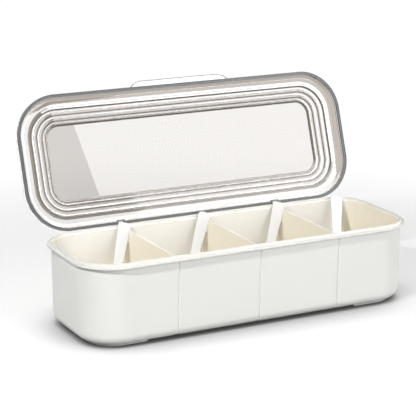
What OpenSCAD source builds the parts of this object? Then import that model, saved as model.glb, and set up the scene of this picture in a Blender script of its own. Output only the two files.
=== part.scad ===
// Four cell condiment caddy with one long flip lid, shown with the lid open.
// The tub stands on the ground plane, its length along X and the hinge at the back, +Y.

/* [Tub] */
// Length of the tub over its flange
tub_len = 300; // [290:1:320]
// Width of the tub over its flange
tub_wid = 109; // [105:0.5:125]
// Corner radius of the flange in plan
corner_r = 33.7; // [30:0.1:40]
// Height of the underside of the flange above the ground
flange_z = 64.9; // [60:0.1:80]
// Thickness of the flange
flange_t = 1.65; // [1.4:0.05:2.2]
// Height of the lip above the flange
lip_h = 2.2; // [1.8:0.1:2.6]
// Distance of the lip's outer face inside the flange edge
lip_inset = 3.55; // [3.2:0.05:4]
// Thickness of the lip
lip_t = 1.25; // [1:0.05:1.6]
// Distance of the wall's outer face inside the flange edge
wall_inset = 3.2; // [2.8:0.1:3.6]
// How far the wall leans in between flange and floor
wall_draft = 0.9; // [0.5:0.1:1.5]
// Thickness of the tub wall under the lip
wall_t = 2.4; // [2:0.1:2.6]
// Thickness of the tub floor
floor_t = 2; // [1.6:0.1:3]
// Outside radius where the wall turns into the floor
bottom_r = 7.7; // [6:0.1:10]

/* [Cells] */
// Distance between neighbouring dividers
cell_pitch = 72.5; // [70:0.5:76]
// Thickness of a divider
divider_t = 1.6; // [1.4:0.1:2]
// Radius of the rounded shoulders of the front grooves
groove_r = 1.5; // [1.2:0.1:2]
// Width left open at the root of a groove
groove_gap = 0.3; // [0.2:0.1:0.6]
// Depth of the rest for a spoon handle at the back of a divider
rest_depth = 9; // [9:0.5:14]
// Length of that rest from the flange's back edge
rest_len = 16; // [16:0.5:20]

/* [Foot pads] */
// Height of a foot pad
foot_h = 2.3; // [2:0.1:3]
// Width of a foot pad across its curve
foot_w = 6; // [5:0.5:9]
// Distance of a foot pad's outer edge inside the flange edge
foot_inset = 13; // [12:0.1:14]
// Straight length of a foot pad past the corner
foot_run = 21; // [10:1:30]

/* [Lid] */
// How far the lid stands out past the flange all round
lid_over = 1.65; // [1.5:0.05:1.8]
// Angle the lid opens to from closed
open_angle = 109.2; // [105:0.2:110]
// Thickness of the clear lid
lid_t = 2; // [1.6:0.1:2.2]
// Inside height of the outer band above the rim
band_h = 4.9; // [4.8:0.1:5.4]
// Inside height of the centre panel above the rim
panel_h = 9.6; // [9:0.1:11]
// Distance from the lid's end to the centre panel
panel_inset = 27.7; // [26:0.1:29]
// Distance from the lid's end to the first step
step_inset = 12; // [11:0.1:13]
// Distance between steps
step_pitch = 5.1; // [4.8:0.1:5.3]
// Width of the pull tab along the lid's front
tab_w = 93; // [70:1:110]
// How far the pull tab stands out
tab_out = 5; // [4:0.5:8]
// Thickness of the pull tab
tab_t = 1.4; // [1:0.1:2]

/* [Seal] */
// Width of the grey seal strip under the lid's rim
seal_w = 2.7; // [2.4:0.1:3]
// Thickness of the seal strip
seal_t = 1.6; // [1.2:0.1:1.6]

/* [Hinge] */
// Distance of each hinge from the middle of the tub
hinge_x = 73; // [70:0.5:76]
// Width of a hinge lug on the tub
lug_w = 4; // [4:0.5:5]
// Radius of the lid's hinge pins
pin_r = 0.8; // [0.7:0.05:0.85]
// Radial play of a pin in its hole
pin_play = 0.06; // [0.04:0.01:0.1]

/* [Spoons] */
// Length of a spoon's handle above the bowl
handle_len = 57.6; // [54:0.2:58]
// Width of the handle at its top
handle_top_w = 10.7; // [9:0.1:11]
// Radius of the two corners at the handle's end
handle_tip_r = 3.6; // [2.5:0.1:4.4]
// Width of the handle where it meets the bowl
handle_low_w = 5.2; // [5:0.1:7]
// Thickness of the handle
handle_t = 1.6; // [1.4:0.1:2]
// Radius of the bowl at its rim
bowl_r = 12.5; // [11:0.5:13]
// Depth of the bowl
bowl_depth = 7; // [5:0.5:7]
// Wall thickness of the bowl
bowl_t = 1.4; // [1.2:0.1:1.6]

/* [Hidden] */
$fn = 96;
eps = 0.01;
gap = 0.3;
cream = [0.96, 0.95, 0.91];
white = [0.98, 0.98, 0.98];
smoke = [0.80, 0.78, 0.76, 0.45];
grey = [0.50, 0.52, 0.54];
pad_white = [0.90, 0.90, 0.87];

flange_top = flange_z + flange_t;
lip_top = flange_top + lip_h;
floor_z = foot_h + floor_t;
shelf_z = flange_top - 0.05;
inner_inset = wall_inset + wall_t;
rim_z = flange_top + gap;
lid_len = tub_len + 2 * lid_over;
lid_wid = tub_wid + 2 * lid_over;
lid_r = corner_r + lid_over;
back_y = lid_wid / 2;

// The open rim's lower edge stands just inside the flange's back edge; the hinge axis is the one
// point that turns the closed rim's back edge onto it.
open_edge_y = tub_wid / 2 - 0.72;
open_edge_z = rim_z + 0.87;
chord = [open_edge_y - back_y, open_edge_z - rim_z];
chord_len = norm(chord);
axis_off = chord_len / 2 / tan(open_angle / 2);
hinge_y = (back_y + open_edge_y) / 2 + axis_off * chord[1] / chord_len;
hinge_z = (rim_z + open_edge_z) / 2 - axis_off * chord[0] / chord_len;

lug_r = pin_r + 0.8;
notch_r = lug_r + gap;
knuckle_w = 2.5;
knuckle_r = 1.4;
hinge_half = lug_w / 2 + gap;
skirt_out = 0.3;
handle_start = bowl_r - bowl_t / 2;
handle_end = handle_start + handle_len;

// Carries a profile, drawn as distance from the corner's centre and height, round a rounded rectangle.
module around(len, wid, r) {
    for (sx = [0, 1], sy = [0, 1])
        mirror([sx, 0, 0])
            mirror([0, sy, 0])
                translate([len / 2 - r, wid / 2 - r, 0])
                    rotate_extrude(angle = 90)
                        children();
    for (sy = [0, 1])
        mirror([0, sy, 0])
            translate([-(len / 2 - r), wid / 2 - r, 0])
                rotate([90, 0, 90])
                    linear_extrude(len - 2 * r)
                        children();
    for (sx = [0, 1])
        mirror([sx, 0, 0])
            translate([len / 2 - r, wid / 2 - r, 0])
                rotate([90, 0, 0])
                    linear_extrude(wid - 2 * r)
                        children();
}

// A solid rounded rectangle whose side leans in by draft over its height.
module slab(len, wid, r, z0, z1, draft = 0) {
    around(len, wid, r)
        polygon([[0, z0], [r, z0], [r - draft, z1], [0, z1]]);
    translate([-(len / 2 - r), -(wid / 2 - r), z0])
        cube([len - 2 * r, wid - 2 * r, z1 - z0]);
}

// A leaning wall from z0 up to z1 with a round foot; low and top are the radii at z0 and z1.
module bowl_profile(low, top, z0, z1, round_r) {
    lean = atan((top - low) / (z1 - z0));
    cx = low + round_r * tan(lean) - round_r / cos(lean);
    cz = z0 + round_r;
    tx = cx + round_r * cos(lean);
    tz = cz - round_r * sin(lean);
    difference() {
        polygon([[0, z0], [low, z0], [top, z1], [0, z1]]);
        difference() {
            polygon([[cx, z0 - 1], [low + 1, z0 - 1], [low + 1, tz], [tx, tz], [cx, cz]]);
            translate([cx, cz])
                circle(round_r);
        }
    }
}

module vessel(inset_low, inset_top, z0, z1, round_r) {
    around(tub_len, tub_wid, corner_r)
        bowl_profile(corner_r - inset_low, corner_r - inset_top, z0, z1, round_r);
    translate([-(tub_len / 2 - corner_r), -(tub_wid / 2 - corner_r), z0])
        cube([tub_len - 2 * corner_r, tub_wid - 2 * corner_r, z1 - z0]);
}

// The space inside the tub, up to the shelf just under the lip.
module tub_inside() {
    vessel(inner_inset + wall_draft, inner_inset, floor_z, shelf_z, bottom_r - wall_t);
}

// Groove between two rounded shoulders, cut down the front wall in line with a divider and
// running out in a round notch in the tub's bottom edge.
module groove() {
    front = -(tub_wid / 2 - wall_inset);
    below_flange = 1.2;
    drop = flange_z - below_flange;
    half = groove_r + groove_gap / 2;
    translate([0, front, drop])
        rotate([atan(wall_draft / flange_z), 0, 0])
            translate([0, 0, -drop - 1])
                difference() {
                    translate([-half, -half, 0])
                        cube([2 * half, 2 * half, drop + 1]);
                    for (s = [-1, 1])
                        translate([s * half, groove_r, -1])
                            cylinder(h = drop + 3, r = groove_r);
                }
    translate([0, front - 1, foot_h - 0.3])
        rotate([-90, 0, 0])
            cylinder(h = bottom_r + 4, r = groove_r);
}

// Rest at the back of a divider, where a spoon handle leans across it.
module handle_rest() {
    back = tub_wid / 2;
    front = back - rest_len;
    low = shelf_z - rest_depth;
    bevel = 3;
    translate([-divider_t, 0, 0])
        rotate([90, 0, 90])
            linear_extrude(2 * divider_t)
                polygon([[front, shelf_z + 1], [front, low], [front + bevel, low - bevel],
                    [back, low - bevel], [back, shelf_z + 1]]);
}

// One of the three walls between the cells, moulded with the tub.
module divider() {
    difference() {
        intersection() {
            tub_inside();
            translate([-divider_t / 2, -tub_wid / 2, 0])
                cube([divider_t, tub_wid, shelf_z + 1]);
        }
        handle_rest();
    }
}

// Hinge lug on the back of the flange, with a gusset under it and a horn that stops the open lid.
module hinge_lug() {
    pillar = 1.1;
    gusset_h = 8;
    horn_t = 1.6;
    horn_len = 3;
    up = [cos(open_angle - 90), -sin(open_angle - 90)];
    out = [-up[1], up[0]];
    face = [hinge_y, hinge_z] - (back_y - hinge_y - skirt_out + gap) * out;
    stop_in = face + horn_t * up;
    stop_end = stop_in + horn_len * up;
    wall_y = tub_wid / 2 - wall_inset - 0.5;
    translate([-lug_w / 2, 0, 0])
        rotate([90, 0, 90])
            linear_extrude(lug_w)
                difference() {
                    union() {
                        translate([hinge_y, hinge_z])
                            circle(lug_r);
                        polygon([[wall_y, flange_z - gusset_h], [wall_y, flange_z + eps],
                            [hinge_y - pillar, flange_z + eps], [hinge_y - pillar, hinge_z],
                            [hinge_y + pillar, hinge_z], stop_in, stop_end,
                            stop_end - [0, horn_t]]);
                    }
                    translate([hinge_y, hinge_z])
                        circle(pin_r + pin_play);
                }
}

module tub() {
    color(cream)
        difference() {
            union() {
                difference() {
                    union() {
                        vessel(wall_inset + wall_draft, wall_inset, foot_h, flange_z + eps, bottom_r);
                        slab(tub_len, tub_wid, corner_r, flange_z, flange_top);
                        slab(tub_len - 2 * lip_inset, tub_wid - 2 * lip_inset,
                            corner_r - lip_inset, flange_top - eps, lip_top);
                    }
                    tub_inside();
                    slab(tub_len - 2 * (lip_inset + lip_t), tub_wid - 2 * (lip_inset + lip_t),
                        corner_r - lip_inset - lip_t, shelf_z - eps, lip_top + 1);
                }
                for (k = [-1:1])
                    translate([k * cell_pitch, 0, 0])
                        divider();
                for (s = [-1, 1])
                    translate([s * hinge_x, 0, 0])
                        hinge_lug();
            }
            for (k = [-1:1])
                translate([k * cell_pitch, 0, 0])
                    groove();
        }
}

// Everything on the lid is drawn closed and then turned open about the hinge axis.
module opened() {
    translate([0, hinge_y, hinge_z])
        rotate([-open_angle, 0, 0])
            translate([0, -hinge_y, -hinge_z])
                children();
}

// A step of the lid: the outline is in by inset at the ends and a little less along the sides.
module lid_step(inset, z0, z1, draft) {
    side_share = 0.9;
    corner_share = 0.862;
    slab(lid_len - 2 * inset, lid_wid - 2 * inset * side_share, lid_r - inset * corner_share,
        rim_z + z0, rim_z + z1, draft);
}

// Stack of steps that rises to the centre panel; lift and grow turn the inside into the outside.
module lid_stack(lift, grow) {
    steps = 3;
    draft = 0.9;
    rise = (panel_h - band_h) / (steps + 1);
    low = band_h + lift - 1;
    for (k = [0:steps - 1])
        lid_step(step_inset + k * step_pitch - grow, low, band_h + lift + (k + 1) * rise, draft);
    lid_step(panel_inset - 1 - grow, low, panel_h + lift, 1);
}

module hinge_notch() {
    half = hinge_half;
    translate([-half, 0, 0])
        rotate([90, 0, 90])
            linear_extrude(2 * half)
                union() {
                    translate([hinge_y, hinge_z])
                        circle(notch_r);
                    translate([hinge_y, rim_z - 1])
                        square([5, hinge_z + notch_r - rim_z + 1]);
                    translate([hinge_y - notch_r, rim_z - 1])
                        square([2 * notch_r, hinge_z - rim_z + 1]);
                }
}

// Knuckle of the lid beside a lug, with the pin that snaps into the lug's hole.
module knuckle() {
    face = back_y - hinge_y - skirt_out;
    translate([hinge_half, 0, 0])
        rotate([90, 0, 90])
            linear_extrude(knuckle_w)
                union() {
                    translate([hinge_y, hinge_z])
                        circle(knuckle_r);
                    translate([hinge_y - knuckle_r, hinge_z])
                        square([knuckle_r + face, seal_t]);
                }
    translate([gap, hinge_y, hinge_z])
        rotate([0, 90, 0])
            cylinder(h = hinge_half, r = pin_r);
}

module pull_tab() {
    bend = 17;
    z = rim_z + seal_t;
    half = tab_w / 2 - sqrt(bend * bend - (bend - tab_out) * (bend - tab_out));
    translate([0, -lid_wid / 2, z])
        linear_extrude(tab_t)
            difference() {
                union() {
                    for (s = [-1, 1])
                        translate([s * half, bend - tab_out])
                            circle(bend);
                    translate([-half, -tab_out])
                        square([2 * half, tab_out + 1]);
                }
                translate([-tab_w, 1.5])
                    square([2 * tab_w, 2 * bend]);
            }
}

module lid() {
    skirt_in = 2.1;
    step_wall = 1.4;
    color(smoke)
        opened() {
            difference() {
                union() {
                    slab(lid_len - 2 * skirt_out, lid_wid - 2 * skirt_out, lid_r - skirt_out,
                        rim_z + seal_t, rim_z + band_h + lid_t - 1);
                    slab(lid_len - 2 * skirt_out, lid_wid - 2 * skirt_out, lid_r - skirt_out,
                        rim_z + band_h + lid_t - 1, rim_z + band_h + lid_t, 1);
                    lid_stack(lid_t, step_wall);
                    pull_tab();
                }
                slab(lid_len - 2 * skirt_in, lid_wid - 2 * skirt_in, lid_r - skirt_in,
                    rim_z - 1, rim_z + band_h);
                lid_stack(0, 0);
                for (s = [-1, 1])
                    translate([s * hinge_x, 0, 0])
                        hinge_notch();
            }
            for (s = [-1, 1], side = [0, 1])
                translate([s * hinge_x, 0, 0])
                    mirror([side, 0, 0])
                        knuckle();
        }
}

// Soft strip under the lid's rim; it swells inward to pass each hinge.
module lid_seal() {
    round_r = 0.6;
    bulge_in = 3.9;
    bulge_half = 7;
    cut_half = 5.1;
    cut_in = 2.85;
    color(grey)
        opened()
            difference() {
                union() {
                    around(lid_len, lid_wid, lid_r)
                        translate([lid_r - seal_w, rim_z])
                            difference() {
                                square([seal_w, seal_t]);
                                difference() {
                                    translate([seal_w - round_r, -1])
                                        square([1 + round_r, 1 + round_r]);
                                    translate([seal_w - round_r, round_r])
                                        circle(round_r);
                                }
                            }
                    for (s = [-1, 1])
                        translate([s * hinge_x - bulge_half, back_y - bulge_in, rim_z])
                            cube([2 * bulge_half, bulge_in - 2, seal_t]);
                }
                for (s = [-1, 1])
                    translate([s * hinge_x - cut_half, back_y - cut_in, rim_z - 1])
                        cube([2 * cut_half, cut_in + 1, seal_t + 2]);
            }
}

// Half section of the bowl from its axis out: a flat bottom turned up in one round.
module bowl_section(off) {
    flat = bowl_r - bowl_depth;
    intersection() {
        union() {
            square([flat, bowl_depth - off]);
            translate([flat, 0])
                circle(bowl_depth - off);
        }
        square([bowl_r, bowl_depth]);
    }
}

// Spoon drawn upright, its bowl's centre at the origin and its hollow side to the front.
module spoon_shape() {
    low = handle_low_w / 2;
    top = handle_top_w / 2;
    r = handle_tip_r;
    rotate([90, 0, 0])
        translate([0, 0, -handle_t / 2])
            linear_extrude(handle_t)
                union() {
                    polygon([[-low, handle_start], [low, handle_start], [top, handle_end - r],
                        [top - r, handle_end], [r - top, handle_end], [-top, handle_end - r]]);
                    for (s = [-1, 1])
                        translate([s * (top - r), handle_end - r])
                            circle(r);
                }
    translate([0, -handle_t / 2, 0])
        rotate([-90, 0, 0])
            rotate_extrude()
                difference() {
                    bowl_section(0);
                    bowl_section(bowl_t);
                }
}

// Stands a spoon in its cell: tip is the middle of the handle's end, turn and lean its direction.
module spoon(tip, turn, lean, roll) {
    color(white)
        translate(tip)
            rotate([-lean, 0, -turn])
                rotate([0, 0, roll])
                    translate([0, 0, -handle_end])
                        spoon_shape();
}

module spoon_1() { spoon([-72.7, 47.5, 70.5], 40.2, 38.4, 17); }
module spoon_2() { spoon([1.3, 47.4, 70.4], 48.4, 38.4, 23); }
module spoon_3() { spoon([73.6, 47.4, 70.4], 47.6, 38.4, 22); }
module spoon_4() { spoon([129.2, 44.6, 69.6], 28.9, 39, 13.5); }

// Thin pad under one corner of the tub, following the curve of the wall.
module foot_pad(sx, sy) {
    color(pad_white)
        mirror([sx, 0, 0])
            mirror([0, sy, 0])
                translate([tub_len / 2 - corner_r, tub_wid / 2 - corner_r, 0]) {
                    rotate_extrude(angle = 90)
                        translate([corner_r - foot_inset - foot_w, 0])
                            square([foot_w, foot_h]);
                    translate([-foot_run, corner_r - foot_inset - foot_w, 0])
                        cube([foot_run, foot_w, foot_h]);
                }
}

module foot_pad_front_left() { foot_pad(1, 1); }
module foot_pad_front_right() { foot_pad(0, 1); }
module foot_pad_back_left() { foot_pad(1, 0); }
module foot_pad_back_right() { foot_pad(0, 0); }

tub();
lid();
lid_seal();
spoon_1();
spoon_2();
spoon_3();
spoon_4();
foot_pad_front_left();
foot_pad_front_right();
foot_pad_back_left();
foot_pad_back_right();
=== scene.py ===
import math

import bmesh
import bpy
from mathutils import Matrix, Vector


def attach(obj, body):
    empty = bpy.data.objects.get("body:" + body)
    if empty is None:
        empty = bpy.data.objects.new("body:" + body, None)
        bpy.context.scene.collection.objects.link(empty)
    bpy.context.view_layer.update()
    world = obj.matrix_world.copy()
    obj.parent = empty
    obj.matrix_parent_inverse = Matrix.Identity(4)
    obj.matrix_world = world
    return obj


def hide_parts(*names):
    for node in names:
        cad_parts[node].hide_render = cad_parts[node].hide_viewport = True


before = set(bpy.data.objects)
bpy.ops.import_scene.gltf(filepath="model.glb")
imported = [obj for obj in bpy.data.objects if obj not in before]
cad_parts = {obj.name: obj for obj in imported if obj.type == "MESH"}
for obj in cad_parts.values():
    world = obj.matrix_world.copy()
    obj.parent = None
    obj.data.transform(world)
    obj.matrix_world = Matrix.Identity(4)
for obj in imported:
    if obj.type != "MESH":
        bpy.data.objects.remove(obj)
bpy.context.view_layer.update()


# Tub
# One injection moulding in cream polypropylene: a long tub with round corners, a thin flange
# all round it and an upright lip just inside the flange for the lid to close over.

def pick(piece, kind, wanted):
    """Leaves selected only those verts, edges or faces of the piece in edit mode that are wanted."""
    bpy.ops.mesh.select_all(action="DESELECT")
    bpy.ops.mesh.select_mode(type={"verts": "VERT", "edges": "EDGE", "faces": "FACE"}[kind])
    mesh = bmesh.from_edit_mesh(piece.data)
    for part in getattr(mesh, kind):
        if wanted(part):
            part.select_set(True)
    bmesh.update_edit_mesh(piece.data)


def start_cube(name, low, high):
    """Adds a block between two corners and opens it in edit mode."""
    bpy.ops.object.select_all(action="DESELECT")
    middle = [(a + b) / 2 for a, b in zip(low, high)]
    bpy.ops.mesh.primitive_cube_add(size=1, location=middle)
    piece = bpy.context.object
    piece.name = piece.data.name = name
    piece.scale = [b - a for a, b in zip(low, high)]
    bpy.ops.object.transform_apply()
    bpy.ops.object.mode_set(mode="EDIT")
    return piece


def push(x=0, y=0, z=0):
    bpy.ops.mesh.extrude_region_move(TRANSFORM_OT_translate={"value": (x, y, z)})


HALF_LENGTH, HALF_WIDTH, CORNER = 0.150, 0.0545, 0.0337


def from_edge(point):
    """Distance of a point inside the flange's outline, seen from above."""
    across, along = abs(point.x) - HALF_LENGTH + CORNER, abs(point.y) - HALF_WIDTH + CORNER
    if across > 0 and along > 0:
        return CORNER - math.hypot(across, along)
    return CORNER - max(across, along)


def rings(*places):
    """Says yes to the edges of the tub's outline rings, each given as height and distance inside."""
    return lambda e: any(
        all(abs(v.co.z - z) < 1e-5 and abs(from_edge(v.co) - inside) < 4e-5 for v in e.verts)
        for z, inside in places)


def draw_in(lean, half_length, half_width):
    """Makes the selected outline smaller all round by the walls' lean."""
    bpy.ops.transform.resize(value=(1 - lean / half_length, 1 - lean / half_width, 1),
                             center_override=(0, 0, 0))


FLANGE_LOW, FLANGE_TOP, LIP_TOP = 0.0649, 0.06655, 0.06875
SHELF, FLOOR, BOTTOM = 0.0665, 0.0043, 0.0023
WALL_IN, LIP_IN, LIP_THICK, SHELF_WIDE = 0.0032, 0.00355, 0.00125, 0.0008
SHELF_IN = LIP_IN + LIP_THICK
CELLS_IN = SHELF_IN + SHELF_WIDE
LEAN = 0.0009
INSIDE_SKIN = 0.0047

tub = start_cube("tub_shell", (-HALF_LENGTH, -HALF_WIDTH, FLANGE_LOW), (HALF_LENGTH, HALF_WIDTH, FLANGE_TOP))
pick(tub, "edges", lambda e: abs(e.verts[0].co.z - e.verts[1].co.z) > 0.001)
bpy.ops.mesh.bevel(offset=CORNER, segments=28, affect="EDGES")

pick(tub, "faces", lambda f: f.normal.z < -0.9)
bpy.ops.mesh.inset(thickness=WALL_IN)
push(z=BOTTOM - FLANGE_LOW)
draw_in(LEAN, HALF_LENGTH - WALL_IN, HALF_WIDTH - WALL_IN)

pick(tub, "faces", lambda f: f.normal.z > 0.9)
bpy.ops.mesh.inset(thickness=LIP_IN)
push(z=LIP_TOP - FLANGE_TOP)
bpy.ops.mesh.inset(thickness=LIP_THICK)
push(z=SHELF - LIP_TOP)
bpy.ops.mesh.inset(thickness=SHELF_WIDE)
push(z=FLOOR - SHELF)
draw_in(LEAN, HALF_LENGTH - CELLS_IN, HALF_WIDTH - CELLS_IN)

pick(tub, "edges", rings((FLANGE_LOW, WALL_IN)))
bpy.ops.mesh.bevel(offset=0.0005, segments=2, affect="EDGES")
pick(tub, "edges", rings((FLANGE_TOP, LIP_IN), (SHELF, SHELF_IN)))
bpy.ops.mesh.bevel(offset=0.00025, segments=2, affect="EDGES")
pick(tub, "edges", rings((FLANGE_LOW, 0), (FLANGE_TOP, 0), (LIP_TOP, LIP_IN), (LIP_TOP, SHELF_IN),
                         (SHELF, CELLS_IN)))
bpy.ops.mesh.bevel(offset=0.0004, segments=3, affect="EDGES")
pick(tub, "edges", lambda e: all(abs(v.co.z - BOTTOM) < 1e-5 for v in e.verts))
bpy.ops.mesh.bevel(offset=0.0077, segments=9, affect="EDGES")
pick(tub, "edges", lambda e: all(abs(v.co.z - FLOOR) < 1e-5 for v in e.verts))
bpy.ops.mesh.bevel(offset=0.0053, segments=7, affect="EDGES")

# Three grooves down the front, in line with the dividers: two round shoulders that meet in a
# narrow valley, ending just under the flange and running out under the bottom edge.
CELL = 0.0725
SHOULDER, REACH = 0.0030, 0.0019
steps = [REACH * k for k in (0.06, 0.16, 0.28, 0.42, 0.58, 0.78, 1)]


def front_skin(f):
    c = f.calc_center_median()
    return c.y < -0.0385 and c.z < 0.0645 and (f.normal.y < -0.01 or f.normal.z < -0.9)


pick(tub, "faces", lambda f: f.normal.z < -0.99 and f.calc_center_median().z < 0.003)
bpy.ops.mesh.bisect(plane_co=(0, -0.0388, 0), plane_no=(0, 1, 0))
for height in (0.0634, 0.0637):
    pick(tub, "faces", lambda f: front_skin(f) and f.calc_center_median().z > 0.02)
    bpy.ops.mesh.bisect(plane_co=(0, 0, height), plane_no=(0, 0, 1))
for middle in (-CELL, 0, CELL):
    for off in [-s for s in steps] + [0] + steps:
        pick(tub, "faces", front_skin)
        bpy.ops.mesh.bisect(plane_co=(middle + off, 0, 0), plane_no=(1, 0, 0))
    mesh = bmesh.from_edit_mesh(tub.data)
    for v in mesh.verts:
        off = abs(v.co.x - middle)
        if off > REACH + 1e-6 or v.co.y > -0.0389 or not v.co.z < 0.06341:
            continue
        if from_edge(v.co) > INSIDE_SKIN and v.co.y > -0.0487 and v.co.z > 0.0042:
            continue
        depth = SHOULDER - math.sqrt(SHOULDER ** 2 - max(0, REACH - off) ** 2)
        inward = Vector((0, -0.0427 - v.co.y, 0.01 - v.co.z)) if v.co.z < 0.01 else Vector((0, 1, 0))
        v.co += inward.normalized() * depth
    bmesh.update_edit_mesh(tub.data)
bpy.ops.object.mode_set(mode="OBJECT")


# Dividers
# Three cross walls moulded with the tub. Each stands between the front and back walls, with a
# lower stretch at the back where a spoon's handle leans across it.

def beside(piece, name, shift):
    """Copies a piece with its own mesh, set over by shift."""
    twin = piece.copy()
    twin.data = piece.data.copy()
    twin.name = twin.data.name = name
    twin.data.transform(Matrix.Translation(shift))
    bpy.context.scene.collection.objects.link(twin)
    return twin


def weld(whole, parts):
    """Makes the parts one mesh with the piece they are moulded with."""
    bpy.ops.object.select_all(action="DESELECT")
    for part in parts:
        part.select_set(True)
    whole.select_set(True)
    bpy.context.view_layer.objects.active = whole
    bpy.ops.object.join()


REST_FRONT, REST_FLOOR = 0.0385, 0.0545
DIVIDER_END = 0.0493
divider = start_cube("divider", (-CELL - 0.0008, -DIVIDER_END, 0.0038),
                     (-CELL + 0.0008, DIVIDER_END, REST_FLOOR))
pick(divider, "edges", lambda e: all(v.co.z < 0.004 for v in e.verts)
     and abs(e.verts[0].co.y - e.verts[1].co.y) < 1e-6)
bpy.ops.mesh.bevel(offset=0.0065, segments=6, affect="EDGES")
pick(divider, "faces", lambda f: f.normal.z > 0.9)
bpy.ops.mesh.bisect(plane_co=(0, REST_FRONT, 0), plane_no=(0, 1, 0))
pick(divider, "faces", lambda f: f.normal.z > 0.9 and f.calc_center_median().y < REST_FRONT)
push(z=SHELF - REST_FLOOR)
pick(divider, "edges", lambda e: all(abs(v.co.y - REST_FRONT) < 1e-6
                                     and abs(v.co.z - REST_FLOOR) < 1e-6 for v in e.verts))
bpy.ops.mesh.bevel(offset=0.003, segments=4, affect="EDGES")
pick(divider, "edges", lambda e: all(v.co.z > REST_FLOOR - 1e-6 for v in e.verts)
     and abs(e.verts[0].co.x - e.verts[1].co.x) < 1e-6 and e.calc_length() > 1e-4
     and not all(abs(v.co.y) > DIVIDER_END - 0.0001 for v in e.verts))
bpy.ops.mesh.bevel(offset=0.0003, segments=2, affect="EDGES")
bpy.ops.object.mode_set(mode="OBJECT")
dividers = [divider] + [beside(divider, "divider", (shift, 0, 0)) for shift in (CELL, 2 * CELL)]
weld(tub, dividers)


# Hinge lugs
# Two small lugs moulded on the back of the flange, each with a hole for the lid's pins, a
# gusset under the flange and a horn behind that the open lid leans on.

HINGE = Vector((0, 0.0552741, 0.0681271))
LUG = 0.073
LUG_WIDE = 0.004
lug = start_cube("lug", (-LUG - LUG_WIDE / 2, HINGE.y - 0.0011, 0.0638),
                 (-LUG + LUG_WIDE / 2, HINGE.y + 0.0011, 0.0668))
pick(lug, "faces", lambda f: f.normal.y > 0.9)
push(y=0.0029, z=-0.0012)
bpy.ops.transform.resize(value=(1, 1, 0.5), center_override=(0, 0.0593, 0.0646))
pick(lug, "faces", lambda f: f.normal.z < -0.9 and f.calc_center_median().y < 0.0564)
push(y=-0.0033, z=-0.0066)
bpy.ops.transform.resize(value=(1, 0.4, 1), center_override=(0, 0.0512, 0.0572))
pick(lug, "edges", lambda e: abs(e.verts[0].co.x - e.verts[1].co.x) < 1e-6)
bpy.ops.mesh.bevel(offset=0.00025, segments=2, affect="EDGES")
bpy.ops.object.mode_set(mode="OBJECT")

bpy.ops.object.select_all(action="DESELECT")
bpy.ops.mesh.primitive_cylinder_add(vertices=32, radius=0.0016, depth=LUG_WIDE,
                                    location=(-LUG, HINGE.y, HINGE.z), rotation=(0, math.pi / 2, 0))
eye = bpy.context.object
bpy.ops.object.transform_apply()
bpy.ops.object.mode_set(mode="EDIT")
pick(eye, "faces", lambda f: abs(f.normal.x) > 0.9)
bpy.ops.mesh.inset(thickness=0.00074)
bpy.ops.mesh.bridge_edge_loops()
bpy.ops.object.mode_set(mode="OBJECT")
lugs = [lug, eye] + [beside(part, "lug", (2 * LUG, 0, 0)) for part in (lug, eye)]
weld(tub, lugs)


def smooth(piece, degrees):
    """Rounds the shading over gentle angles and keeps flat faces flat."""
    bpy.ops.object.select_all(action="DESELECT")
    piece.select_set(True)
    bpy.context.view_layer.objects.active = piece
    bpy.ops.object.shade_smooth_by_angle(angle=math.radians(degrees))
    piece.modifiers.new("even", "WEIGHTED_NORMAL").keep_sharp = True
    bpy.ops.object.modifier_apply(modifier="even")


smooth(tub, 32)

# Cream polypropylene: satin and faintly uneven. The whole tub is one cream. Its cells get lighter and
# more golden copies of it, as painted light and shade for the warm light that gathers between the walls.

def node_ramp(nodes, links, value, low, high, out_low=0.0, out_high=1.0):
    """Turns a value between low and high into one between out_low and out_high, held at the ends."""
    ramp = nodes.new("ShaderNodeMapRange")
    ramp.interpolation_type = "SMOOTHSTEP"
    links.new(value, ramp.inputs["Value"])
    for name, number in (("From Min", low), ("From Max", high), ("To Min", out_low), ("To Max", out_high)):
        ramp.inputs[name].default_value = number
    return ramp.outputs[0]


def node_mix(nodes, links, factor, first, second):
    """Mixes two colours, each a colour or another node's output."""
    mix = nodes.new("ShaderNodeMix")
    mix.data_type = "RGBA"
    links.new(factor, mix.inputs["Factor"])
    for socket, value in ((mix.inputs["A"], first), (mix.inputs["B"], second)):
        if isinstance(value, tuple):
            socket.default_value = (*value, 1)
        else:
            links.new(value, socket)
    return mix.outputs["Result"]


def node_noise(nodes, links, place, scale, detail=2.0, rough=0.5):
    noise = nodes.new("ShaderNodeTexNoise")
    noise.inputs["Scale"].default_value = scale
    noise.inputs["Detail"].default_value = detail
    noise.inputs["Roughness"].default_value = rough
    links.new(place, noise.inputs["Vector"])
    return noise.outputs["Fac"]


def node_bump(nodes, links, height, distance, strength, shader):
    bump = nodes.new("ShaderNodeBump")
    bump.inputs["Distance"].default_value = distance
    bump.inputs["Strength"].default_value = strength
    links.new(height, bump.inputs["Height"])
    links.new(bump.outputs[0], shader.inputs["Normal"])


def plastic(name, gloss, low, high, rough, clouds, grain, grain_height):
    """A moulded plastic: two near colours in soft clouds, uneven gloss and a fine grain."""
    made = bpy.data.materials.new(name)
    made.use_nodes = True
    nodes, links = made.node_tree.nodes, made.node_tree.links
    shader = nodes["Principled BSDF"]
    shader.inputs["Specular IOR Level"].default_value = gloss
    place = nodes.new("ShaderNodeTexCoord").outputs["Object"]
    cloud = node_noise(nodes, links, place, clouds, 3.0)
    links.new(node_mix(nodes, links, cloud, low, high), shader.inputs["Base Color"])
    links.new(node_ramp(nodes, links, cloud, 0.3, 0.7, *rough), shader.inputs["Roughness"])
    node_bump(nodes, links, node_noise(nodes, links, place, grain), grain_height, 0.25, shader)
    return made


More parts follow.
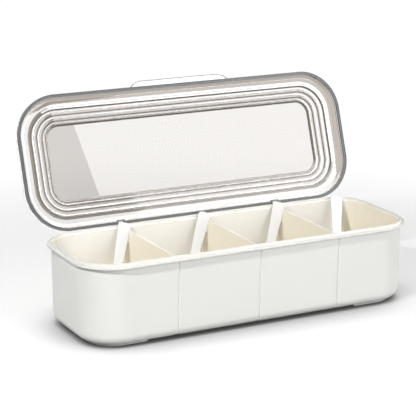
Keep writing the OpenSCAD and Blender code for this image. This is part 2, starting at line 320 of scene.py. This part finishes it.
cream = plastic("cream_polypropylene", 0.42, (0.865, 0.865, 0.830), (0.880, 0.880, 0.850),
                (0.36, 0.42), 22.0, 900.0, 0.00004)
# Painted shade: a darker, duller copy of the same cream for the upward faces of the flange and lip, so that
# these tops, lit most, come out less bright.
painted_shade_topside = plastic("cream_polypropylene_rim_painted_shade", 0.2, (0.785, 0.780, 0.745), (0.800, 0.795, 0.760),
                  (0.40, 0.46), 22.0, 900.0, 0.00004)
# Painted light and shade: a lighter copy for the cells' walls, a golden one for the dividers' faces turned
# to the key lamp, and a deeper gold for faces low down that face up or away.
cells = plastic("cream_polypropylene_cells_painted_light", 0.36, (0.930, 0.925, 0.905), (0.945, 0.940, 0.920),
                (0.38, 0.44), 22.0, 900.0, 0.00004)
painted_warm_light = plastic("cream_polypropylene_dividers_painted_light", 0.36, (0.925, 0.875, 0.755), (0.940, 0.890, 0.775),
               (0.38, 0.44), 22.0, 900.0, 0.00004)
deep = plastic("cream_polypropylene_floor_painted_shade", 0.36, (0.920, 0.845, 0.640), (0.935, 0.860, 0.665),
               (0.38, 0.44), 22.0, 900.0, 0.00004)


def paint_crease_shade(made, reach, open_to, shade_tint, below=1):
    """Paints shade into the creases of a piece under a height: ambient occlusion turns the colour tan
    between near walls.
    """
    nodes, links = made.node_tree.nodes, made.node_tree.links
    shader = nodes["Principled BSDF"]
    tight = nodes.new("ShaderNodeAmbientOcclusion")
    tight.only_local = True
    tight.samples = 12
    tight.inputs["Distance"].default_value = reach
    height = nodes.new("ShaderNodeSeparateXYZ")
    links.new(nodes.new("ShaderNodeTexCoord").outputs["Object"], height.inputs[0])
    low = node_ramp(nodes, links, height.outputs["Z"], below + 0.0001, below - 0.0001)
    both = nodes.new("ShaderNodeMath")
    both.operation = "MULTIPLY"
    links.new(low, both.inputs[0])
    links.new(node_ramp(nodes, links, tight.outputs["AO"], *open_to), both.inputs[1])
    links.new(node_mix(nodes, links, both.outputs[0],
                       shader.inputs["Base Color"].links[0].from_socket, shade_tint),
              shader.inputs["Base Color"])


# Painted shade: a thin brown line under the flange, tan in the lip's creases and in the corners of the
# cells.
paint_crease_shade(cream, 0.0036, (0.80, 0.62), (0.42, 0.34, 0.22), FLANGE_LOW)
paint_crease_shade(painted_shade_topside, 0.0030, (0.80, 0.42), (0.72, 0.66, 0.52))
for made in (cells, painted_warm_light, deep):
    paint_crease_shade(made, 0.0040, (0.92, 0.42), (0.80, 0.68, 0.48))
tub.data.materials.clear()
finishes = [cream, cells, painted_warm_light, deep, painted_shade_topside]
for made in finishes:
    tub.data.materials.append(made)


def in_cells(f):
    """Faces of the cells: the inner wall and floor and the dividers."""
    c = f.center
    inside = from_edge(c)
    if c.z > 0.01:
        return inside > INSIDE_SKIN and c.z < SHELF + 0.00002
    return c.z > 0.0035 and math.hypot(max(0, 0.0118 - inside), 0.01 - c.z) < 0.0066


# Each face of the cells gets its copy with painted light or shade by where it is and which way it faces.
for face in tub.data.polygons:
    finish = cream
    if in_cells(face):
        low_or_front = face.normal.z > 0.7 or face.normal.y > 0.5 or face.normal.x > 0.7
        finish = painted_warm_light if face.normal.x < -0.7 else cells
        if low_or_front and face.center.z < 0.066:
            finish = deep
    # Upward faces of the rim get the copy with painted shade.
    elif face.center.z > 0.0655 and face.normal.z > 0.2:
        finish = painted_shade_topside
    face.material_index = finishes.index(finish)
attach(tub, "tub")
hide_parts("tub")


# Foot pads
# Four thin curved pads of cream rubber pressed into the tub's underside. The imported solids
# have the right shape, so they stay and get the rubber's finish.

rubber = plastic("cream_rubber", 0.3, (0.86, 0.85, 0.81), (0.89, 0.88, 0.84), (0.62, 0.72),
                 60.0, 1500.0, 0.00005)
for corner in ("front_left", "front_right", "back_left", "back_right"):
    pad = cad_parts["foot_pad_" + corner]
    pad.data.materials.clear()
    pad.data.materials.append(rubber)


# Lid
# One long lid moulded in clear smoky plastic. A deep rim runs round it, then a rolled gutter
# and three rounded steps rise to the flat centre panel. It is drawn closed and turned open.

RIM = 0.06685
OVERHANG = 0.00165
LID_LENGTH, LID_WIDTH, LID_CORNER = HALF_LENGTH + OVERHANG, HALF_WIDTH + OVERHANG, CORNER + OVERHANG
OPEN = math.radians(109.2)


def lid_outline(inside):
    """Half length, half width and corner radius of the lid's outline at a distance inside its edge."""
    share = min(1, max(0, (inside - 0.0021) / 0.0099))
    return (LID_LENGTH - inside, LID_WIDTH - inside * (1 - 0.1 * share),
            LID_CORNER - inside * (1 - 0.138 * share))


def next_ring(piece, old, inside, height):
    """Extrudes the selected face and carries its outline to the next ring of the lid's profile."""
    push()
    mesh = bmesh.from_edit_mesh(piece.data)
    half_x, half_y, r = lid_outline(old)
    to_x, to_y, to_r = lid_outline(inside)
    for v in mesh.verts:
        if v.select:
            turn = math.atan2(max(0, abs(v.co.y) - half_y + r), max(0, abs(v.co.x) - half_x + r))
            v.co.x = math.copysign(to_x - to_r + to_r * math.cos(turn), v.co.x)
            v.co.y = math.copysign(to_y - to_r + to_r * math.sin(turn), v.co.y)
            v.co.z = RIM + height
    bmesh.update_edit_mesh(piece.data)
    return inside


START_IN, SEAL_THICK = 0.0003, 0.0016
lid = start_cube("lid_shell", (START_IN - LID_LENGTH, START_IN - LID_WIDTH, RIM + SEAL_THICK),
                 (LID_LENGTH - START_IN, LID_WIDTH - START_IN, RIM + 0.0059))
pick(lid, "edges", lambda e: abs(e.verts[0].co.z - e.verts[1].co.z) > 0.001)
bpy.ops.mesh.bevel(offset=LID_CORNER - START_IN, segments=28, affect="EDGES")

# The two profiles from the edge to the panel, as millimetres inside the edge and above the rim.
OUTSIDE = [(0.37, 6.28), (0.59, 6.61), (0.92, 6.83), (1.3, 6.9), (5.5, 6.9), (10.1, 6.9),
           (10.6, 7.03), (10.85, 7.3), (11.05, 7.7), (11.35, 7.98), (11.9, 8.07), (15.2, 8.07),
           (15.7, 8.2), (15.95, 8.47), (16.15, 8.87), (16.45, 9.16), (17.0, 9.25), (20.3, 9.25),
           (20.8, 9.38), (21.05, 9.65), (21.25, 10.05), (21.55, 10.33), (22.1, 10.42),
           (24.8, 10.42), (25.3, 10.55), (25.6, 10.85), (25.85, 11.25), (26.2, 11.5), (26.9, 11.6)]
INSIDE = [(2.1, 1.6), (2.12, 2.6), (2.3, 3.3), (2.7, 3.9), (3.4, 4.45), (4.3, 4.95), (5.4, 5.3),
          (6.6, 5.5), (7.6, 5.5), (8.6, 5.4), (10.3, 5.18), (11.9, 4.86), (12.8, 4.7), (13.2, 4.8),
          (13.45, 5.1), (13.7, 5.6), (14.05, 6.0), (14.6, 6.25), (15.4, 6.34), (16.5, 6.25),
          (17.6, 6.0), (18.4, 5.92), (18.75, 6.15), (19.05, 6.65), (19.4, 7.1), (19.9, 7.38),
          (20.6, 7.48), (21.6, 7.4), (22.7, 7.2), (23.4, 7.12), (23.75, 7.35), (24.05, 7.85),
          (24.4, 8.3), (24.85, 8.56), (25.3, 8.64), (26.0, 8.52), (26.7, 8.35), (27.15, 8.38),
          (27.5, 8.68), (27.8, 9.1), (28.1, 9.42), (28.5, 9.6)]
for profile, up in ((OUTSIDE, 1), (INSIDE, -1)):
    pick(lid, "faces", lambda f: f.normal.z * up > 0.9)
    last = START_IN
    for inside, height in profile:
        last = next_ring(lid, last, inside / 1000, height / 1000)
bpy.ops.object.mode_set(mode="OBJECT")


def cut(piece, low, high):
    """Cuts a block's space out of a piece."""
    block = start_cube("cutter", low, high)
    bpy.ops.object.mode_set(mode="OBJECT")
    bpy.ops.object.select_all(action="DESELECT")
    piece.select_set(True)
    bpy.context.view_layer.objects.active = piece
    cutter = piece.modifiers.new("cut", "BOOLEAN")
    cutter.operation, cutter.object, cutter.solver = "DIFFERENCE", block, "EXACT"
    bpy.ops.object.modifier_apply(modifier="cut")
    bpy.data.objects.remove(block)


for side in (-LUG, LUG):
    cut(lid, (side - 0.0023, 0.0533741, 0.066), (side + 0.0023, 0.0573, 0.0700271))


def turn_open(piece):
    """Swings a piece that is drawn on the closed lid open about the hinge."""
    piece.data.transform(Matrix.Translation(HINGE) @ Matrix.Rotation(-OPEN, 4, "X")
                         @ Matrix.Translation(-HINGE))


smooth(lid, 40)
turn_open(lid)

# Clear smoky plastic, as glass that lets the lamps through. Over the plastic's own smoke, the gutter
# and the steps are painted in rings with the light and shade of their reflections, more strongly than
# the panel: pale rings as painted highlights, tan, brown and near black rings as painted shade, the
# risers darkest.

def clear_plastic(name, low, high):
    made = bpy.data.materials.new(name)
    made.use_nodes = True
    nodes, links = made.node_tree.nodes, made.node_tree.links
    shader = nodes["Principled BSDF"]
    shader.inputs["Transmission Weight"].default_value = 1.0
    shader.inputs["IOR"].default_value = 1.5
    shader.inputs["Roughness"].default_value = 0.0
    place = nodes.new("ShaderNodeTexCoord").outputs["Object"]
    links.new(node_mix(nodes, links, node_noise(nodes, links, place, 9.0), low, high),
              shader.inputs["Base Color"])
    through = nodes.new("ShaderNodeBsdfTransparent")
    through.inputs["Color"].default_value = (*(sum(pair) / 2 for pair in zip(low, high)), 1)
    choose = nodes.new("ShaderNodeMixShader")
    links.new(nodes.new("ShaderNodeLightPath").outputs["Is Shadow Ray"], choose.inputs["Fac"])
    links.new(shader.outputs[0], choose.inputs[1])
    links.new(through.outputs[0], choose.inputs[2])
    links.new(choose.outputs[0], nodes["Material Output"].inputs["Surface"])
    return made


lid.data.materials.clear()
for made in (clear_plastic("smoky_panel", (0.650, 0.625, 0.600), (0.670, 0.645, 0.620)),
             clear_plastic("smoky_outside", (0.88, 0.865, 0.85), (0.90, 0.885, 0.87)),
             clear_plastic("smoky_painted_highlight", (0.84, 0.83, 0.82), (0.87, 0.86, 0.85)),
             clear_plastic("smoky_painted_tan_shade", (0.34, 0.295, 0.25), (0.37, 0.325, 0.28)),
             clear_plastic("smoky_painted_brown_shade", (0.12, 0.09, 0.065), (0.15, 0.115, 0.085)),
             clear_plastic("smoky_painted_dark_shade", (0.03, 0.021, 0.014), (0.04, 0.029, 0.02))):
    lid.data.materials.append(made)


def ring_of(point):
    """Millimetres inside the edge at which a point of the closed lid lies, and the way outwards."""
    for inside, height in INSIDE:
        half_x, half_y, r = lid_outline(inside / 1000)
        across, along = abs(point.x) - half_x + r, abs(point.y) - half_y + r
        if math.hypot(max(0, across), max(0, along)) + min(0, max(across, along)) > r:
            break
    out = Vector((math.copysign(max(0, across), point.x), math.copysign(max(0, along), point.y)))
    return inside, out.normalized()


# Each band of painted highlight or painted shade ends so many millimetres inside the edge. The side
# of the pull tab and the side of the hinge differ, as the reflections on them do, and the change
# between them slants across the two corners where they meet.
PANEL, OUTER, PAINTED_HIGHLIGHT, PAINTED_TAN_SHADE, PAINTED_BROWN_SHADE, PAINTED_DARK_SHADE = range(6)
FREE_SIDE_LIGHT_AND_SHADE = [(5.5, PAINTED_TAN_SHADE), (8.7, PAINTED_BROWN_SHADE), (12.9, PAINTED_HIGHLIGHT), (14.1, PAINTED_DARK_SHADE), (16.6, PAINTED_HIGHLIGHT), (17.7, PAINTED_BROWN_SHADE),
              (19.1, PAINTED_DARK_SHADE), (21.7, PAINTED_HIGHLIGHT), (22.8, PAINTED_BROWN_SHADE), (24.1, PAINTED_DARK_SHADE), (26.1, PAINTED_HIGHLIGHT), (29, PAINTED_DARK_SHADE)]
HINGE_SIDE_LIGHT_AND_SHADE = [(6.4, PAINTED_TAN_SHADE), (10.4, PAINTED_HIGHLIGHT), (12, PAINTED_BROWN_SHADE), (14.1, PAINTED_DARK_SHADE), (16.6, PAINTED_HIGHLIGHT), (17.7, PAINTED_TAN_SHADE),
               (19.1, PAINTED_DARK_SHADE), (21.7, PAINTED_HIGHLIGHT), (22.8, PAINTED_TAN_SHADE), (24.1, PAINTED_DARK_SHADE), (26.1, PAINTED_HIGHLIGHT), (29, PAINTED_BROWN_SHADE)]
shut = Matrix.Rotation(OPEN, 3, "X")
for face in lid.data.polygons:
    closed = shut @ (face.center - HINGE) + HINGE
    if closed.z - RIM > 0.0095 and face.area > 1e-4:
        face.material_index = PANEL
    elif (shut @ face.normal).z > -0.05:
        face.material_index = OUTER
    else:
        inside, out = ring_of(closed)
        painted_bands = FREE_SIDE_LIGHT_AND_SHADE if 0.6 * out.x - 0.8 * out.y > (min(inside, 9) - 5) / 10 else HINGE_SIDE_LIGHT_AND_SHADE
        face.material_index = next(kind for end, kind in painted_bands if inside <= end)
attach(lid, "lid")
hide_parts("lid")


# Pull tab
# A thin flat tab moulded on the lid's front edge, straight along its front and swept back into
# the edge in a long curve at each end.

TAB_WIDTH, TAB_THICK, TAB_OUT, BEND = 0.093, 0.0014, 0.005, 0.017
swing = TAB_WIDTH / 2 - math.sqrt(BEND ** 2 - (BEND - TAB_OUT) ** 2)
bpy.ops.object.select_all(action="DESELECT")
bpy.ops.mesh.primitive_cylinder_add(vertices=128, radius=BEND, depth=TAB_THICK,
                                    location=(swing, BEND - TAB_OUT - LID_WIDTH, RIM + 0.0023))
tab = bpy.context.object
tab.name = tab.data.name = "pull_tab"
bpy.ops.object.transform_apply()
bpy.ops.object.mode_set(mode="EDIT")
bpy.ops.mesh.select_all(action="SELECT")
bpy.ops.mesh.bisect(plane_co=(0, -0.0551, 0), plane_no=(0, 1, 0), clear_outer=True, use_fill=True)
bpy.ops.mesh.select_all(action="SELECT")
bpy.ops.mesh.bisect(plane_co=(swing, 0, 0), plane_no=(1, 0, 0), clear_inner=True, use_fill=True)
pick(tab, "faces", lambda f: f.normal.x < -0.9 and abs(f.calc_center_median().x - swing) < 1e-5)
push(x=-2 * swing)
pick(tab, "faces", lambda f: f.normal.x < -0.9 and f.calc_center_median().x < 0)
bpy.ops.mesh.delete(type="FACE")
bpy.ops.object.mode_set(mode="OBJECT")
mesh = bmesh.new()
mesh.from_mesh(tab.data)
bmesh.ops.bisect_plane(mesh, geom=mesh.verts[:] + mesh.edges[:] + mesh.faces[:], dist=1e-7,
                       plane_co=(0, 0, 0), plane_no=(1, 0, 0), clear_inner=True)
mesh.to_mesh(tab.data)
mesh.free()
bpy.ops.object.modifier_add(type="MIRROR")
tab.modifiers[0].merge_threshold = 1e-5
bpy.ops.object.modifier_apply(modifier=tab.modifiers[0].name)
bpy.ops.object.mode_set(mode="EDIT")
pick(tab, "edges", lambda e: abs(e.verts[0].co.z - e.verts[1].co.z) < 1e-6 and e.calc_face_angle(0) > 1)
bpy.ops.mesh.bevel(offset=0.00066, segments=3, affect="EDGES")
bpy.ops.mesh.select_all(action="SELECT")
bpy.ops.mesh.normals_make_consistent(inside=False)
bpy.ops.object.mode_set(mode="OBJECT")
smooth(tab, 32)
turn_open(tab)

# The same plastic as the lid, but thinner and paler. Its edge faces are near black, a painted dark line
# standing in for the dark that a clear edge shows seen edge on.
tab.data.materials.clear()
for made in (clear_plastic("thin_clear_plastic", (0.95, 0.945, 0.94), (0.97, 0.965, 0.96)),
             clear_plastic("thin_clear_plastic_painted_dark_edge", (0.030, 0.027, 0.025), (0.040, 0.037, 0.035))):
    tab.data.materials.append(made)
for face in tab.data.polygons:
    face.material_index = int(abs((shut @ face.normal).z) < 0.99)
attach(tab, "lid")


# Hinge knuckles and pins
# Two knuckles beside each lug, moulded with the lid. A short pin on each snaps into the lug.

def rod(name, low, high, radius):
    """Adds a round bar along X on the hinge axis with its end edges rounded."""
    bpy.ops.object.select_all(action="DESELECT")
    bpy.ops.mesh.primitive_cylinder_add(vertices=32, radius=radius, depth=high - low,
                                        location=((low + high) / 2, HINGE.y, HINGE.z),
                                        rotation=(0, math.pi / 2, 0))
    bar = bpy.context.object
    bar.name = bar.data.name = name
    bpy.ops.object.transform_apply()
    bpy.ops.object.mode_set(mode="EDIT")
    pick(bar, "edges", lambda e: abs(e.verts[0].co.x - e.verts[1].co.x) < 1e-6)
    bpy.ops.mesh.bevel(offset=0.0002, segments=2, affect="EDGES")
    bpy.ops.object.mode_set(mode="OBJECT")
    return bar


KNUCKLE = (0.0023, 0.0048)
ROLL = 0.0014
knuckle = start_cube("lid_knuckles", (KNUCKLE[0], HINGE.y - ROLL, HINGE.z),
                     (KNUCKLE[1], LID_WIDTH - START_IN, HINGE.z + 0.0016))
bpy.ops.object.mode_set(mode="OBJECT")
weld(knuckle, [rod("roll", *KNUCKLE, ROLL), rod("pin", 0.0003, 0.003, 0.0008)])
knuckle.data.transform(Matrix.Translation((LUG, 0, 0)))
mirrored = knuckle.data.copy()
mirrored.transform(Matrix.Translation((2 * LUG, 0, 0)) @ Matrix.Scale(-1, 4, (1, 0, 0)))
mirrored.flip_normals()
pair = bpy.data.objects.new("pair", mirrored)
bpy.context.scene.collection.objects.link(pair)
weld(knuckle, [pair])
weld(knuckle, [beside(knuckle, "pair", (-2 * LUG, 0, 0))])
smooth(knuckle, 32)
turn_open(knuckle)
knuckle.data.materials.clear()
# The knuckles take the brown of the lid's rings of painted shade.
knuckle.data.materials.append(lid.data.materials["smoky_painted_brown_shade"])
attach(knuckle, "lid")


# Seal
# A soft grey silicone strip pressed under the lid's rim all the way round, with two fine ribs
# along it. At each lug it is cut away and a short bridge passes on the inside.

SEAL_WIDE, RIB = 0.0024, 0.00045
seal = start_cube("seal_strip", (-LID_LENGTH, -LID_WIDTH, RIM), (LID_LENGTH, LID_WIDTH, RIM + SEAL_THICK))
pick(seal, "edges", lambda e: abs(e.verts[0].co.z - e.verts[1].co.z) > 0.001)
bpy.ops.mesh.bevel(offset=LID_CORNER, segments=28, affect="EDGES")
pick(seal, "faces", lambda f: abs(f.normal.z) > 0.9)
bpy.ops.mesh.inset(thickness=SEAL_WIDE)
bpy.ops.mesh.bridge_edge_loops()
bpy.ops.mesh.select_all(action="SELECT")
bpy.ops.mesh.normals_make_consistent(inside=False)
pick(seal, "faces", lambda f: f.normal.z < -0.9)
bpy.ops.mesh.inset(thickness=RIB)
pick(seal, "faces", lambda f: f.normal.z < -0.9 and len(f.verts) == 4
     and 0.0004 < min(from_edge(v.co) + OVERHANG for v in f.verts) < 0.0006)
push(z=0.00035)
bpy.ops.object.mode_set(mode="OBJECT")
bridges = []
for side in (-LUG, LUG):
    gap = ((side - 0.0024, 0.0533, 0.066), (side + 0.0024, 0.0575, 0.0700))
    cut(seal, *gap)
    bridge = start_cube("bridge", (side - 0.0034, 0.0523, RIM), (side + 0.0034, 0.0545, RIM + SEAL_THICK))
    bpy.ops.object.mode_set(mode="OBJECT")
    cut(bridge, *gap)
    bridges.append(bridge)
weld(seal, bridges)
smooth(seal, 40)
turn_open(seal)

silicone = plastic("grey_silicone", 0.3, (0.085, 0.092, 0.098), (0.105, 0.113, 0.120),
                   (0.42, 0.52), 80.0, 1800.0, 0.00004)
seal.data.materials.clear()
seal.data.materials.append(silicone)
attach(seal, "lid")
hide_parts("lid_seal")


# Spoons
# Four small white spoons, each one moulding: a flat handle that widens to a rounded end and a
# round deep bowl. They stand in the cells and lean back over the dividers' low ends.

SPOON_LENGTH, NECK, TIP, HANDLE_THICK = 0.0694, 0.0052, 0.0107, 0.0016
handle = start_cube("spoon", (-NECK / 2, -HANDLE_THICK / 2, 0.0118),
                    (NECK / 2, HANDLE_THICK / 2, SPOON_LENGTH))
pick(handle, "faces", lambda f: f.normal.z > 0.9)
bpy.ops.transform.resize(value=(TIP / NECK, 1, 1), center_override=(0, 0, 0))
pick(handle, "edges", lambda e: all(v.co.z > SPOON_LENGTH - 0.0004 for v in e.verts)
     and abs(e.verts[0].co.x - e.verts[1].co.x) < 1e-6)
bpy.ops.mesh.bevel(offset=0.0036, segments=8, affect="EDGES")
pick(handle, "edges", lambda e: e.calc_face_angle(0) > 1)
bpy.ops.mesh.bevel(offset=0.00035, segments=3, affect="EDGES")
bpy.ops.object.mode_set(mode="OBJECT")

bpy.ops.object.select_all(action="DESELECT")
BOWL_RADIUS, BOWL_DEPTH = 0.0125, 0.007
bpy.ops.mesh.primitive_cylinder_add(vertices=72, radius=BOWL_RADIUS, depth=BOWL_DEPTH,
                                    location=(0, (BOWL_DEPTH - HANDLE_THICK) / 2, 0),
                                    rotation=(math.pi / 2, 0, 0))
bowl = bpy.context.object
bpy.ops.object.transform_apply()
bpy.ops.object.mode_set(mode="EDIT")
pick(bowl, "edges", lambda e: all(v.co.y > 0.006 for v in e.verts))
bpy.ops.mesh.bevel(offset=0.00698, segments=9, affect="EDGES")
pick(bowl, "faces", lambda f: f.normal.y < -0.9)
bpy.ops.mesh.inset(thickness=0.0014)
push(y=0.0056)
pick(bowl, "edges", lambda e: all(abs(v.co.y - 0.0048) < 1e-5 for v in e.verts))
bpy.ops.mesh.bevel(offset=0.00558, segments=8, affect="EDGES")
pick(bowl, "edges", lambda e: all(v.co.y < -0.00079 for v in e.verts))
bpy.ops.mesh.bevel(offset=0.0004, segments=3, affect="EDGES")
bpy.ops.object.mode_set(mode="OBJECT")
weld(handle, [bowl])
smooth(handle, 35)

# White polypropylene, smoother than the tub.
white = plastic("white_polypropylene", 0.3, (0.755, 0.755, 0.757), (0.770, 0.770, 0.772),
                (0.30, 0.36), 45.0, 1200.0, 0.00003)
handle.data.materials.clear()
handle.data.materials.append(white)

# Where each handle's tip is, and how far the spoon is turned, leant back and twisted, in degrees.
STANDING = {"spoon_1": ((-0.0727, 0.0475, 0.0705), 40.2, 38.4, 17),
            "spoon_2": ((0.0013, 0.0474, 0.0704), 48.4, 38.4, 23),
            "spoon_3": ((0.0736, 0.0474, 0.0704), 47.6, 38.4, 22),
            "spoon_4": ((0.1292, 0.0446, 0.0696), 28.9, 39, 13.5)}
for name, (tip, turn, lean, twist) in STANDING.items():
    spoon = beside(handle, name + "_moulding", (0, 0, -SPOON_LENGTH))
    spoon.data.transform(Matrix.Translation(tip) @ Matrix.Rotation(math.radians(-turn), 4, "Z")
                         @ Matrix.Rotation(math.radians(-lean), 4, "X")
                         @ Matrix.Rotation(math.radians(twist), 4, "Z"))
    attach(spoon, name)
    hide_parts(name)
bpy.data.objects.remove(handle)


# Floor, light and camera
# A white floor keeps the object's shadow and glows a little, the more the farther out, so that it
# runs into the white backdrop. Near the object ambient occlusion darkens its colour and its glow, a
# painted contact shadow. Soft lamps light the object and bright cards only reflect in it.

bpy.ops.object.select_all(action="DESELECT")
bpy.ops.mesh.primitive_plane_add(size=12)
floor = bpy.context.object
floor.name = "floor"
paper = bpy.data.materials.new("white_paper")
paper.use_nodes = True
nodes, links = paper.node_tree.nodes, paper.node_tree.links
shader = nodes["Principled BSDF"]
shader.inputs["Roughness"].default_value = 0.9
shader.inputs["Specular IOR Level"].default_value = 0.0
# Painted contact shadow: ambient occlusion near the object turns the floor's colour dark.
near = nodes.new("ShaderNodeAmbientOcclusion")
near.inputs["Distance"].default_value = 0.06
near.samples = 12
clear = node_ramp(nodes, links, near.outputs["AO"], 0.12, 0.92)
distance = nodes.new("ShaderNodeVectorMath")
distance.operation = "LENGTH"
links.new(nodes.new("ShaderNodeTexCoord").outputs["Object"], distance.inputs[0])
far = node_ramp(nodes, links, distance.outputs["Value"], 0.20, 0.60)
links.new(node_mix(nodes, links, far, node_mix(nodes, links, clear, (0.10, 0.10, 0.10), (0.52, 0.52, 0.52)),
                   (0.05, 0.05, 0.05)), shader.inputs["Base Color"])
shader.inputs["Emission Color"].default_value = (1, 1, 1, 1)
rays = nodes.new("ShaderNodeLightPath")
seen = rays.outputs["Is Camera Ray"]
for ray in ("Is Glossy Ray", "Is Transmission Ray"):
    either = nodes.new("ShaderNodeMath")
    either.operation = "MAXIMUM"
    links.new(seen, either.inputs[0])
    links.new(rays.outputs[ray], either.inputs[1])
    seen = either.outputs[0]
# The glow shows only to the rays gathered in seen. Ambient occlusion makes it weaker near the object, a
# painted contact shadow.
lift = nodes.new("ShaderNodeMath")
lift.operation = "MULTIPLY"
links.new(seen, lift.inputs[0])
glow = nodes.new("ShaderNodeMath")
glow.operation = "MULTIPLY_ADD"
links.new(far, glow.inputs[0])
glow.inputs[1].default_value = 0.46
links.new(node_ramp(nodes, links, near.outputs["AO"], 0.12, 0.92, 0.03, 0.55), glow.inputs[2])
links.new(glow.outputs[0], lift.inputs[1])
links.new(lift.outputs[0], shader.inputs["Emission Strength"])
floor.data.materials.append(paper)

room = bpy.data.worlds.new("soft_room")
bpy.context.scene.world = room
room.use_nodes = True
nodes, links = room.node_tree.nodes, room.node_tree.links
fill = nodes["Background"]
fill.inputs["Color"].default_value = (1, 1, 1, 1)
fill.inputs["Strength"].default_value = 0.18
plain = nodes.new("ShaderNodeBackground")
plain.inputs["Strength"].default_value = 1.0
rays = nodes.new("ShaderNodeLightPath")
seen = fill.outputs[0]
for ray in ("Is Camera Ray", "Is Glossy Ray", "Is Transmission Ray"):
    choose = nodes.new("ShaderNodeMixShader")
    links.new(rays.outputs[ray], choose.inputs["Fac"])
    links.new(seen, choose.inputs[1])
    links.new(plain.outputs[0], choose.inputs[2])
    seen = choose.outputs[0]
links.new(seen, nodes["World Output"].inputs["Surface"])


def soft_lamp(name, place, size, strength):
    """A round lamp facing the object. A white face turned to it there would show the strength."""
    place, aim = Vector(place), Vector((0, 0, 0.05))
    data = bpy.data.lights.new(name, "AREA")
    data.shape, data.size = "DISK", size
    data.energy = strength * (math.pi * (place - aim).length) ** 2
    lamp = bpy.data.objects.new(name, data)
    bpy.context.scene.collection.objects.link(lamp)
    lamp.location = place
    lamp.rotation_euler = (place - aim).to_track_quat("Z", "Y").to_euler()
    lamp.visible_glossy = lamp.visible_transmission = False


soft_lamp("key_lamp", (-0.70, -0.32, 0.67), 0.06, 0.60)
soft_lamp("soft_front_lamp", (0.38, -1.08, 0.36), 1.1, 0.62)
soft_lamp("soft_top_lamp", (0, 0, 1.4), 1.4, 0.12)

# A tall card to the right, seen only as a reflection: its left edge makes the slanting
# boundary across the lid's panel.
edge_low, edge_high = Vector((0.2607, -0.6785, 0.3998)), Vector((0.241, -0.6515, 0.4946))
rise = (edge_high - edge_low).normalized()
away = Vector((0.6, -0.72, 0.33))
away = (away - rise * away.dot(rise)).normalized()
across = rise.cross(away)


def card(name, place, wide, tall, glow):
    """A bright card that lights nothing and shows only in glossy surfaces."""
    data = bpy.data.lights.new(name, "AREA")
    data.shape, data.size, data.size_y = "RECTANGLE", wide, tall
    data.energy = glow * math.pi * wide * tall
    made = bpy.data.objects.new(name, data)
    bpy.context.scene.collection.objects.link(made)
    made.matrix_world = place
    made.visible_diffuse = made.visible_transmission = made.visible_camera = False


facing = Matrix((across, rise, away)).transposed().to_4x4()
card("panel_card", Matrix.Translation(edge_low + across * 0.22 - rise * 0.2) @ facing, 0.44, 0.8, 5.8)
card("right_card", Matrix.Translation(edge_low + across * 0.94) @ facing, 1.0, 1.6, 9.0)
card("high_card", Matrix.Translation(edge_low + across * 0.22 + rise * 0.5) @ facing, 0.44, 0.6, 9.0)
card("top_card", Matrix.Translation((0.15, -0.1, 1.1)), 1.6, 1.0, 8.0)

camera = bpy.data.objects.new("camera", bpy.data.cameras.new("camera"))
bpy.context.scene.collection.objects.link(camera)
camera.data.lens = 141.62
camera.data.sensor_width = 36
camera.matrix_world = (Matrix.Translation((-0.61512, -1.12753, 0.43168))
                       @ Matrix.Rotation(math.radians(-27.79), 4, "Z")
                       @ Matrix.Rotation(math.radians(74.92), 4, "X")
                       @ Matrix.Rotation(math.radians(0.31), 4, "Z"))
bpy.context.scene.camera = camera
bpy.context.scene.view_settings.view_transform = "Standard"

bpy.context.view_layer.update()
